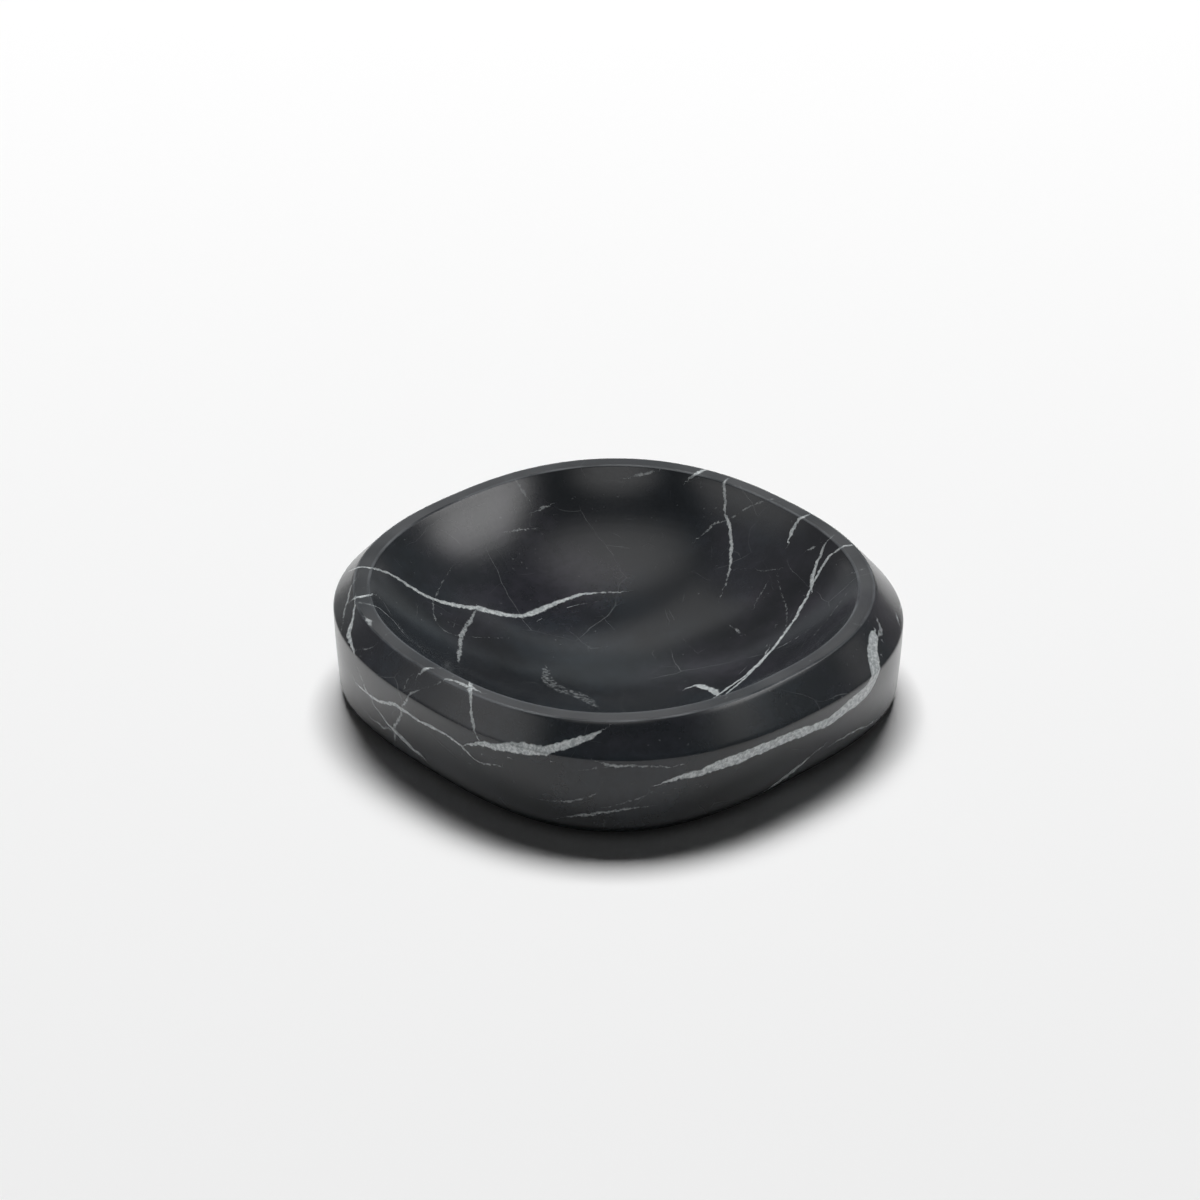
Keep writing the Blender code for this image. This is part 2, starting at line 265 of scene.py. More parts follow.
class Graph:
    """Short way to add and link the shader nodes of one material."""

    def __init__(self, name: str) -> None:
        """Start an empty material.

        Args:
            name: Name of the material.
        """
        self.material = bpy.data.materials.new(name)
        self.material.use_nodes = True
        self.nodes = self.material.node_tree.nodes
        self.links = self.material.node_tree.links
        self.shader = self.nodes["Principled BSDF"]
        self.place = self.nodes.new("ShaderNodeTexCoord").outputs["Object"]

    def feed(self, socket: bpy.types.NodeSocket, value: Value) -> None:
        """Give an input its value.

        Args:
            socket: The input.
            value: An output that is linked to it, or a value that is set on it.
        """
        if isinstance(value, bpy.types.NodeSocket):
            self.links.new(value, socket)
        else:
            socket.default_value = value

    def math(self, operation: str, *values: Value) -> bpy.types.NodeSocket:
        """Add one sum.

        Args:
            operation: Blender's name for the sum.
            *values: What it works on.

        Returns:
            Its result.
        """
        node = self.nodes.new("ShaderNodeMath")
        node.operation = operation
        for socket, value in zip(node.inputs, values):
            self.feed(socket, value)
        return node.outputs[0]

    def noise(self, noise: Noise, place: Value | None = None, output: str = "Fac") -> bpy.types.NodeSocket:
        """Add one noise texture.

        Args:
            noise: Its size and character.
            place: Coordinates to lay it on, or None for the object's own.
            output: Fac for one value, Color for three.

        Returns:
            That output.
        """
        node = self.nodes.new("ShaderNodeTexNoise")
        node.inputs["Scale"].default_value = 1 / noise.size
        node.inputs["Detail"].default_value = noise.detail
        node.inputs["Roughness"].default_value = noise.roughness
        self.links.new(place or self.place, node.inputs["Vector"])
        return node.outputs[output]

    def cells(self, size: float, place: Value, feature: str = "F1") -> bpy.types.NodeSocket:
        """Add a texture of rounded cells.

        Args:
            size: Width of a cell.
            place: Coordinates to lay it on.
            feature: F1 for the distance to a cell's middle, DISTANCE_TO_EDGE for the one to its edge.

        Returns:
            The distance, in widths of a cell.
        """
        node = self.nodes.new("ShaderNodeTexVoronoi")
        node.feature = feature
        node.inputs["Scale"].default_value = 1 / size
        self.feed(node.inputs["Vector"], place)
        return node.outputs["Distance"]

    def spread(self, value: Value, low: Value, high: Value, to_low: Value = 0.0,
               to_high: Value = 1.0) -> bpy.types.NodeSocket:
        """Add a smooth step.

        Args:
            value: What drives it.
            low: Where the step starts.
            high: Where it ends.
            to_low: Result at its start.
            to_high: Result at its end.

        Returns:
            The stepped value.
        """
        node = self.nodes.new("ShaderNodeMapRange")
        node.interpolation_type = "SMOOTHSTEP"
        for name, given in (("Value", value), ("From Min", low), ("From Max", high), ("To Min", to_low),
                            ("To Max", to_high)):
            self.feed(node.inputs[name], given)
        return node.outputs["Result"]

    def mix(self, share: Value, first: Value, second: Value) -> bpy.types.NodeSocket:
        """Blend two colours.

        Args:
            share: How much there is of the second one.
            first: The first colour.
            second: The second colour.

        Returns:
            The blend.
        """
        node = self.nodes.new("ShaderNodeMix")
        node.data_type = "RGBA"
        colours = [socket for socket in node.inputs if socket.type == "RGBA"]
        self.feed(node.inputs["Factor"], share)
        for socket, colour in zip(colours, (first, second)):
            self.feed(socket, colour if isinstance(colour, bpy.types.NodeSocket) else (*colour, 1.0))
        return next(socket for socket in node.outputs if socket.type == "RGBA")

    def parts(self, vector: Value | None = None) -> bpy.types.bpy_prop_collection:
        """Split a vector.

        Args:
            vector: The vector, or None for the object's coordinates.

        Returns:
            Its parts, by the names X, Y and Z.
        """
        node = self.nodes.new("ShaderNodeSeparateXYZ")
        self.links.new(vector or self.place, node.inputs[0])
        return node.outputs

    def summed_powers(self, power: float) -> bpy.types.NodeSocket:
        """Sum that stays the same along a rounded square about the object's origin.

        Args:
            power: How square it is, where 2 is a circle.

        Returns:
            The sum of that power of x and of y.
        """
        parts = self.parts()
        sizes = [self.math("ABSOLUTE", parts[axis]) for axis in "XY"]
        return self.math("ADD", *(self.math("POWER", size, power) for size in sizes))

    def warped(self, noise: Noise, amount: float) -> bpy.types.NodeSocket:
        """Push the object's coordinates about by noise.

        Args:
            noise: The noise that pushes them.
            amount: Mean push along each axis.

        Returns:
            The changed coordinates.
        """
        push = self.nodes.new("ShaderNodeVectorMath")
        push.operation = "MULTIPLY_ADD"
        self.links.new(self.noise(noise, output="Color"), push.inputs[0])
        push.inputs[1].default_value = (2 * amount,) * 3
        self.links.new(self.place, push.inputs[2])
        return push.outputs[0]

    def bump(self, height: Value, strength: float, depth: float) -> None:
        """Roughen the look of the surface.

        Args:
            height: The height at each point, from 0 to 1.
            strength: How much of it shows.
            depth: What a height of 1 stands for, in metres.
        """
        node = self.nodes.new("ShaderNodeBump")
        node.inputs["Strength"].default_value = strength
        node.inputs["Distance"].default_value = depth
        self.feed(node.inputs["Height"], height)
        self.feed(self.shader.inputs["Normal"], node.outputs["Normal"])


@dataclass(frozen=True)
class MarbleFinish:
    """Polished near-black marble: clouded ground, hairlines, specks and the laid-out veins, with a lighter
    rim face that is partly honed stone and partly a painted sheen, and painted highlights along the rim's
    rounded edges.

    A ramp's numbers are the start and end of a smooth step, then its results there if not 0 and 1.
    """

    rim_height: float
    black: Colour = (0.0080, 0.0095, 0.0115)
    slate: Colour = (0.0165, 0.0212, 0.0265)
    plum: Colour = (0.0235, 0.0225, 0.0295)
    # honed stone on the flat rim, made lighter by a painted sheen that stands in for the pale backdrop the
    # rim mirrors
    honed_and_sheen: Colour = (0.0760, 0.0775, 0.0805)
    # painted highlight: pale colour on the rim's rounded edges, standing in for the light they catch
    edge_highlight_colour: Colour = (0.17, 0.18, 0.19)
    vein_grey: Colour = (0.33, 0.36, 0.37)
    vein_white: Colour = (0.68, 0.71, 0.71)
    roughness: float = 0.20
    rim_roughness: float = 0.36
    vein_roughness: float = 0.12  # added where a vein is full
    grain_roughness: float = 0.14  # from the smoothest grain to the dullest
    grain: Noise = Noise(0.0006, 3.0, 0.6)
    grain_strength: float = 0.35
    grain_depth: float = 0.00002
    cloud: Noise = Noise(0.030, 6.0, 0.62)
    cloud_push: float = 0.010
    cloud_ramp: Ramp = (0.36, 0.70)
    tint: Noise = Noise(0.045, 3.0)
    tint_ramp: Ramp = (0.45, 0.62)
    mottle: Noise = Noise(0.0030, 4.0, 0.65)
    mottle_ramp: Ramp = (0.25, 0.75, 0.55, 1.35)
    cracks: tuple[Crack, ...] = (Crack(0.034, 0.00016, 0.14), Crack(0.013, 0.00012, 0.06))
    crack_shares: tuple[float, float, float] = (0.9, 0.18, 0.8)  # of a cell: pushing noise, push and patches
    crack_ramp: Ramp = (0.52, 0.66)
    speck_shares: tuple[float, float, float, float] = (4, 2, 1, 16)  # of a grain: cell, noise, push, patches
    speck_dot: Ramp = (0.03, 0.17, 1.0, 0.0)
    speck_ramp: Ramp = (0.50, 0.68)
    speck_strength: float = 0.15
    wander: tuple[tuple[Noise, float], ...] = (  # with how far each moves a vein's edges, in millimetres
        (Noise(0.0060, 3.0, 0.6), 0.9), (Noise(0.0022, 3.0, 0.6), 1.3), (Noise(0.0009, 3.0, 0.6), 0.9))
    give: tuple[float, float] = (-0.25, 0.85)  # share of it that a vein takes: change per half width, at 0
    swell: Noise = Noise(0.0050)
    swell_ramp: Ramp = (0.3, 0.7, 0.82, 1.12)
    beads: Noise = Noise(0.0016)
    beads_ramp: Ramp = (0.3, 0.7, -0.12, 0.14)  # to millimetres
    least_half: float = 0.04  # half width of the thinnest vein, in millimetres
    softness: tuple[float, float, float] = (0.40, 0.07, 0.30)  # of edges: change per half width, at 0, most
    gaps: Noise = Noise(0.0012, 4.0, 0.7)
    gap_start: tuple[float, float] = (-0.42, 0.50)  # of the ramp that breaks veins: change per paleness, at 0
    gap_spread: float = 0.20
    milk: Noise = Noise(0.0009, 3.0, 0.7)
    milk_ramp: Ramp = (0.36, 0.64)
    rim_drops: tuple[float, float] = (0.00006, 0.00001)  # below the rim's top, where the honed face with its painted sheen fades in
    edge_highlight_drops: tuple[float, float] = (0.00040, 0.00015)  # and where the painted highlights on its rounded edges do
    # breaks the painted edge highlight into patches
    edge_highlight_patches: Noise = Noise(0.0140, 4.0)
    edge_highlight_ramp: Ramp = (0.2, 0.8)
    edge_highlight_share: float = 0.8
    # patches in the honed face and its painted sheen
    honing_and_sheen: Noise = Noise(0.030, 3.0)
    honing_and_sheen_ramp: Ramp = (0.35, 0.65, 0.25, 0.75)

    def ground(self, graph: Graph) -> bpy.types.NodeSocket:
        """Clouded dark colour of the stone between its veins.

        Args:
            graph: Nodes of the material.

        Returns:
            The colour.
        """
        pushed = graph.warped(Noise(self.cloud.size, 3.0), self.cloud_push)
        cloud = graph.spread(graph.noise(self.cloud, pushed), *self.cloud_ramp)
        tint = graph.spread(graph.noise(self.tint), *self.tint_ramp)
        mottle = graph.spread(graph.noise(self.mottle), *self.mottle_ramp)
        amount = graph.math("MINIMUM", graph.math("MULTIPLY", cloud, mottle), 1.0)
        return graph.mix(amount, self.black, graph.mix(tint, self.slate, self.plum))

    def hairlines(self, graph: Graph, crack: Crack) -> bpy.types.NodeSocket:
        """Fine cracks that come and go.

        Args:
            graph: Nodes of the material.
            crack: Their size and strength.

        Returns:
            How pale they are, from 0 to 1.
        """
        noise_share, push_share, patch_share = self.crack_shares
        pushed = graph.warped(Noise(crack.size * noise_share, 3.0), crack.size * push_share)
        distance = graph.cells(crack.size, pushed, "DISTANCE_TO_EDGE")
        edge = graph.spread(distance, 0.0, crack.width / crack.size, 1.0, 0.0)
        shown = graph.spread(graph.noise(Noise(crack.size * patch_share, 3.0)), *self.crack_ramp)
        return graph.math("MULTIPLY", graph.math("MULTIPLY", edge, shown), crack.strength)

    def specks(self, graph: Graph) -> bpy.types.NodeSocket:
        """Small scattered pale crystals.

        Args:
            graph: Nodes of the material.

        Returns:
            How pale they are, from 0 to 1.
        """
        cell, pushing, push, patches = (self.grain.size * share for share in self.speck_shares)
        dot = graph.spread(graph.cells(cell, graph.warped(Noise(pushing, 3.0), push)), *self.speck_dot)
        pick = graph.spread(graph.noise(Noise(patches)), *self.speck_ramp)
        return graph.math("MULTIPLY", graph.math("MULTIPLY", dot, pick), self.speck_strength)

    def laid_veins(self, graph: Graph, layers: int) -> bpy.types.NodeSocket:
        """Strongest of the veins laid out on the mesh, whose edges wander a little.

        Args:
            graph: Nodes of the material.
            layers: How many layers of veins the mesh carries.

        Returns:
            How pale the veins are, from 0 to 1.
        """
        wander: Value = 0.0
        for noise, amount in self.wander:
            push = graph.math("MULTIPLY_ADD", graph.noise(noise), amount, -amount / 2)
            wander = graph.math("ADD", push, wander)
        swell = graph.spread(graph.noise(self.swell), *self.swell_ramp)
        beads = graph.spread(graph.noise(self.beads), *self.beads_ramp)
        per_half, at_zero, most = self.softness
        total: Value = 0.0
        for layer in range(layers):
            stored = graph.nodes.new("ShaderNodeAttribute")
            stored.attribute_name = LAYER_NAME.format(layer)
            parts = graph.parts(stored.outputs["Vector"])
            half = graph.math("MULTIPLY_ADD", parts["Y"], swell, beads)
            half = graph.math("MAXIMUM", half, self.least_half)
            give = graph.math("MULTIPLY_ADD", half, *self.give)
            gap = graph.math("ABSOLUTE", graph.math("MULTIPLY_ADD", wander, give, parts["X"]))
            soft = graph.math("MINIMUM", graph.math("MULTIPLY_ADD", half, per_half, at_zero), most)
            inner, outer = graph.math("SUBTRACT", half, soft), graph.math("ADD", half, soft)
            body = graph.spread(gap, inner, outer, 1.0, 0.0)
            total = graph.math("MAXIMUM", graph.math("MULTIPLY", body, parts["Z"]), total)
        start = graph.math("MULTIPLY_ADD", total, *self.gap_start)
        whole = graph.spread(graph.noise(self.gaps), start, graph.math("ADD", start, self.gap_spread))
        return graph.math("MULTIPLY", total, whole)

    def rim_masks(self, graph: Graph) -> tuple[bpy.types.NodeSocket, bpy.types.NodeSocket]:
        """Where the flat rim and its edges are.

        Args:
            graph: Nodes of the material.

        Returns:
            Masks of the flat face and of the painted highlights on its rounded edges, from 0 to 1.
        """
        height = graph.parts()["Z"]
        rim, near = (graph.spread(height, *(self.rim_height - drop for drop in drops))
                     for drops in (self.rim_drops, self.edge_highlight_drops))
        edge = graph.math("MULTIPLY", near, graph.math("SUBTRACT", 1.0, rim))
        return rim, graph.math("MULTIPLY", edge, graph.spread(graph.noise(self.edge_highlight_patches), *self.edge_highlight_ramp))

    def build(self, layers: int) -> bpy.types.Material:
        """Make the material.

        Args:
            layers: How many layers of veins the mesh carries.

        Returns:
            The finished material.
        """
        graph = Graph("dark_marble")
        laid = self.laid_veins(graph, layers)
        amount = graph.math("MAXIMUM", laid, self.specks(graph))
        for crack in self.cracks:
            amount = graph.math("MAXIMUM", amount, self.hairlines(graph, crack))
        rim, edge = self.rim_masks(graph)
        # flat rim: honed stone lightened by a painted sheen, in patches
        honed_and_sheen = graph.math("MULTIPLY", rim, graph.spread(graph.noise(self.honing_and_sheen), *self.honing_and_sheen_ramp))
        ground = graph.mix(honed_and_sheen, self.ground(graph), self.honed_and_sheen)
        # painted highlight along the rim's rounded edges
        ground = graph.mix(graph.math("MULTIPLY", edge, self.edge_highlight_share), ground, self.edge_highlight_colour)
        milk = graph.spread(graph.noise(self.milk), *self.milk_ramp)
        vein = graph.mix(milk, self.vein_grey, self.vein_white)
        graph.feed(graph.shader.inputs["Base Color"], graph.mix(amount, ground, vein))
        grain = graph.noise(self.grain)
        smoothest = self.roughness - self.grain_roughness / 2
        gloss = graph.math("MULTIPLY_ADD", grain, self.grain_roughness, smoothest)
        gloss = graph.math("MULTIPLY_ADD", laid, self.vein_roughness, gloss)
        gloss = graph.math("MULTIPLY_ADD", rim, self.rim_roughness - self.roughness, gloss)
        graph.feed(graph.shader.inputs["Roughness"], gloss)
        graph.bump(grain, self.grain_strength, self.grain_depth)
        return graph.material


@dataclass(frozen=True)
class RubberFinish:
    """Matt dark rubber with a fine uneven skin."""

    colour: Colour = (0.022, 0.022, 0.024)
    worn: Colour = (0.045, 0.045, 0.047)
    patches: Noise = Noise(0.004, 3.0)
    patches_ramp: Ramp = (0.4, 0.7)
    skin: Noise = Noise(0.0008, 4.0, 0.6)
    skin_ramp: Ramp = (0.3, 0.7, 0.75, 0.95)  # to roughness
    skin_strength: float = 0.4
    skin_depth: float = 0.00005

    def build(self) -> bpy.types.Material:
        """Make the material.

        Returns:
            The finished material.
        """
        graph = Graph("soft_pad")
        skin = graph.noise(self.skin)
        patches = graph.spread(graph.noise(self.patches), *self.patches_ramp)
        graph.feed(graph.shader.inputs["Base Color"], graph.mix(patches, self.colour, self.worn))
        graph.feed(graph.shader.inputs["Roughness"], graph.spread(skin, *self.skin_ramp))
        graph.bump(skin, self.skin_strength, self.skin_depth)
        return graph.material


@dataclass(frozen=True)
class SoftPad:
    """One round rubber pad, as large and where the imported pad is."""

    node: str
    edge_round: float = 0.0004
    edge_steps: int = 5
    seat_gap: float = 0.0003
    sides: int = 96

    @property
    def box(self) -> tuple[Vector, Vector]:
        """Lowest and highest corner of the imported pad."""
        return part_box(self.node)

    @property
    def radius(self) -> float:
        """Half of the pad's width."""
        low, high = self.box
        return (high.x - low.x) / 2

    def disc(self, radius: float, bottom: float, top: float) -> bpy.types.Object:
        """Upright cylinder over the pad's place.

        Args:
            radius: Its radius.
            bottom: Height of its lower face.
            top: Height of its upper face.

        Returns:
            The cylinder.
        """
        low, high = self.box
        middle = (low + high) / 2
        bpy.ops.object.select_all(action="DESELECT")
        bpy.ops.mesh.primitive_cylinder_add(vertices=self.sides, radius=radius, depth=top - bottom,
                                            location=(middle.x, middle.y, (bottom + top) / 2))
        bpy.ops.object.transform_apply(location=True, rotation=False, scale=False)
        return bpy.context.object

    def cutter(self, overrun: float) -> bpy.types.Object:
        """Cylinder that cuts the pad's recess up into the stone and starts an overrun below the pad."""
        low, high = self.box
        return self.disc(self.radius + self.seat_gap, low.z - overrun, high.z + self.seat_gap)

    def build(self) -> bpy.types.Object:
        """Model the pad: a disc with soft edges.

        Returns:
            The finished piece, without a material.
        """
        low, high = self.box
        pad = self.disc(self.radius, low.z, high.z)
        pad.name = self.node.replace("base_pad", "rubber_pad")
        soft = pad.modifiers.new("edge", "BEVEL")
        soft.width = self.edge_round
        soft.segments = self.edge_steps
        soft.limit_method = "ANGLE"
        bpy.ops.object.modifier_apply(modifier=soft.name)
        bpy.ops.object.shade_smooth_by_angle(angle=SMOOTH_ANGLE)
        return pad


@dataclass
class CarvedBowl:
    """The bowl itself, cut from one block of marble."""

    width: float = 0.142
    chamfer_width: float = 0.0063
    chamfer_drop: float = 0.0074
    crease_slope: float = math.tan(math.radians(1.25))
    mouth_shift: float = 0.0012
    wall_draft: float = 0.0038
    base_round: float = 0.0045
    land_width: float = 0.0036
    dish_depth: float = 0.0246
    dish_steepness: float = math.tan(math.radians(47))
    rim_squareness: float = 2.38
    mouth_squareness: float = 2.35
    foot_squareness: float = 2.79
    base_squareness: float = 2.99
    middle_squareness: float = 2.0
    rim_round: float = 0.0006
    crease_round: float = 0.0004
    middle_level: float = 0.012  # of the last ring, which is then joined
    halvings: int = 40
    ring_points: int = 512
    round_steps: int = 6
    zone_steps: dict[Line, int] = field(default_factory=lambda: {
        Line.BASE: 16, Line.FOOT: 28, Line.CREASE: 14, Line.RIM: 4, Line.MOUTH: 76})
    base_height: float = field(init=False)
    rim_height: float = field(init=False)

    def __post_init__(self) -> None:
        """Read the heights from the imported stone."""
        low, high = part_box("bowl_body")
        self.base_height, self.rim_height = low.z, high.z

    def dish_outline(self, mouth: Outline, level: float) -> Outline:
        """Line in the dish, whose profile is the lower part of an ellipse.

        Args:
            mouth: The line round the mouth.
            level: Place along the profile, from 0 in the middle to 1 at the mouth.

        Returns:
            The line there.
        """
        lift = self.dish_depth / (self.dish_steepness * mouth.half_width - self.dish_depth)
        start = math.asin(lift)
        turn = start + (math.pi / 2 - start) * (1 - level)
        reach = math.cos(turn) / math.cos(start)
        drop = (math.sin(turn) - lift) / (1 - lift)
        squareness = self.middle_squareness + (self.mouth_squareness - self.middle_squareness) * reach
        return Outline(mouth.half_width * reach, squareness, self.rim_height - self.dish_depth * drop,
                       self.mouth_shift)

    def foot_outline(self, past_foot: float) -> Outline:
        """Line on the rounded base edge.

        Args:
            past_foot: Share of the way from where the wall ends to the flat base.

        Returns:
            The line there.
        """
        foot_half = self.width / 2 - self.wall_draft
        wall_drop = self.rim_height - self.base_height - self.chamfer_drop - self.base_round
        lean = math.atan2(self.wall_draft, wall_drop)
        turn = lean + (math.pi / 2 - lean) * past_foot
        return Outline(foot_half - self.base_round * (math.cos(lean) - math.cos(turn)),
                       self.foot_squareness + (self.base_squareness - self.foot_squareness) * past_foot,
                       self.base_height + self.base_round * (1 - math.sin(turn)))

    def outline(self, level: float) -> Outline:
        """Line round the bowl at a level between the named ones.

        Args:
            level: Place along the profile, where whole numbers are the members of Line.

        Returns:
            The line there, before any edge is softened.
        """
        mouth = Outline(self.width / 2 - self.chamfer_width - self.land_width, self.mouth_squareness,
                        self.rim_height, self.mouth_shift)
        rim = Outline(mouth.half_width + self.land_width, self.rim_squareness, self.rim_height,
                      self.mouth_shift)
        crease = Outline(self.width / 2, self.rim_squareness, self.rim_height - self.chamfer_drop,
                         slope=self.crease_slope)
        if level < Line.MOUTH:
            return self.dish_outline(mouth, level)
        if level < Line.RIM:
            return mouth.toward(rim, level - Line.MOUTH)
        if level < Line.CREASE:
            return rim.toward(crease, level - Line.RIM)
        if level < Line.FOOT:
            return crease.toward(self.foot_outline(0.0), level - Line.CREASE)
        return self.foot_outline(level - Line.FOOT)

    def level_beside(self, line: Line, distance: float, way: int) -> float:
        """Level that lies a distance from a named line.

        Args:
            line: The line to start from.
            distance: How far along the profile.
            way: 1 towards the base, -1 towards the middle of the dish.

        Returns:
            The level, found by halving.
        """
        near, far = float(line), float(line + way)
        for _ in range(self.halvings):
            middle = (near + far) / 2
            if self.outline(line).distance(self.outline(middle)) < distance:
                near = middle
            else:
                far = middle
        return near

    def softened(self, line: Line, size: float) -> list[Outline]:
        """Rows round a softened edge.

        Args:
            line: The line that the edge follows.
            size: How far from the edge its rounding starts, to both sides.

        Returns:
            The rows, from its outer side to its inner side.
        """
        edge = self.outline(line)
        outer = self.outline(self.level_beside(line, size, 1))
        inner = self.outline(self.level_beside(line, size, -1))
        shares = [step / self.round_steps for step in range(self.round_steps + 1)]
        return [outer.toward(edge, s).toward(edge.toward(inner, s), s) for s in shares]

    def rows(self) -> list[Outline]:
        """Every row of the mesh.

        Returns:
            The rows, from the edge of the flat base to the middle of the dish.
        """
        rounds = {Line.CREASE: self.crease_round, Line.RIM: self.rim_round, Line.MOUTH: self.rim_round}
        made: list[Outline] = []
        for line in (Line.BASE, Line.FOOT, Line.CREASE, Line.RIM, Line.MOUTH):
            start, end = float(line), float(line - 1)
            if line in rounds:
                made += self.softened(line, rounds[line])
                start = self.level_beside(line, rounds[line], -1)
            if line - 1 in rounds:
                end = self.level_beside(Line(line - 1), rounds[Line(line - 1)], 1)
            end = max(end, self.middle_level)
            steps = self.zone_steps[line]
            first = 1 if line in rounds or made else 0
            last = steps if line - 1 in rounds else steps + 1
            made += [self.outline(start + (end - start) * step / steps) for step in range(first, last)]
        return made

    def tube(self, rows: int) -> bpy.types.Object:
        """Open tube with one ring of points for each row of the bowl.

        Args:
            rows: How many rows there are.

        Returns:
            The tube, about the origin.
        """
        height = self.rim_height - self.base_height
        bpy.ops.object.select_all(action="DESELECT")
        bpy.ops.mesh.primitive_cylinder_add(vertices=self.ring_points, radius=self.width / 2, depth=height,
                                            end_fill_type="NOTHING")
        piece = bpy.context.object
        bpy.ops.object.mode_set(mode="EDIT")
        bpy.ops.mesh.select_mode(type="EDGE")
        bpy.ops.mesh.select_all(action="DESELECT")
        mesh = bmesh.from_edit_mesh(piece.data)
        for edge in mesh.edges:
            edge.select_set(abs(edge.verts[0].co.z - edge.verts[1].co.z) > height / 2)
        bmesh.update_edit_mesh(piece.data)
        bpy.ops.mesh.subdivide(number_cuts=rows - 2)
        bpy.ops.object.mode_set(mode="OBJECT")
        return piece

    def place_rows(self, piece: bpy.types.Object, rows: list[Outline]) -> None:
        """Draw the tube's rings onto the rows of the bowl, which turns its top end down into the dish.

        Args:
            piece: The tube.
            rows: The rows, one for each ring.
        """
        spots = vertex_values(piece.data, "co")
        height = self.rim_height - self.base_height
        places = np.rint((spots[:, 2] / height + 0.5) * (len(rows) - 1)).astype(int)
        bearings = np.arctan2(spots[:, 1], spots[:, 0])
        for place, row in enumerate(rows):
            chosen = places == place
            spots[chosen] = row.points(bearings[chosen])
        piece.data.vertices.foreach_set("co", spots.ravel())
        piece.data.update()

    def close_ends(self, piece: bpy.types.Object) -> None:
        """Fill the flat base and join the last ring at the middle of the dish.

        Args:
            piece: The bowl, open at both ends.
        """
        bpy.ops.object.mode_set(mode="EDIT")
        bpy.ops.mesh.select_mode(type="EDGE")
        for low_end in (True, False):
            bpy.ops.mesh.select_all(action="DESELECT")
            mesh = bmesh.from_edit_mesh(piece.data)
            for edge in mesh.edges:
                edge.select_set(edge.is_boundary and (edge.verts[0].co.z < self.base_height + MM) == low_end)
            bmesh.update_edit_mesh(piece.data)
            if low_end:
                bpy.ops.mesh.edge_face_add()
            else:
                bpy.ops.mesh.merge(type="CENTER")
        bpy.ops.object.mode_set(mode="OBJECT")

    def cut_recesses(self, piece: bpy.types.Object, pads: list[SoftPad]) -> None:
        """Cut a shallow round recess into the base for each pad.

        Args:
            piece: The bowl.
            pads: Pads that the recesses hold.
        """
        cutters = [pad.cutter(overrun=MM) for pad in pads]
        bpy.ops.object.select_all(action="DESELECT")
        for cutter in cutters:
            cutter.select_set(True)
        bpy.context.view_layer.objects.active = cutters[0]
        bpy.ops.object.join()
        bpy.ops.object.select_all(action="DESELECT")
        piece.select_set(True)
        bpy.context.view_layer.objects.active = piece
        cut = piece.modifiers.new("recesses", "BOOLEAN")
        cut.object = cutters[0]
        cut.solver = "EXACT"
        bpy.ops.object.modifier_apply(modifier=cut.name)
        bpy.data.objects.remove(cutters[0])

    def build(self, pads: list[SoftPad]) -> bpy.types.Object:
        """Model the stone with its recesses.

        Args:
            pads: Pads that the recesses hold.

        Returns:
            The finished piece, without a material.
        """
        rows = self.rows()
        piece = self.tube(len(rows))
        piece.name = "carved_bowl"
        self.place_rows(piece, rows)
        self.close_ends(piece)
        self.cut_recesses(piece, pads)
        bpy.ops.object.shade_smooth_by_angle(angle=SMOOTH_ANGLE)
        return piece


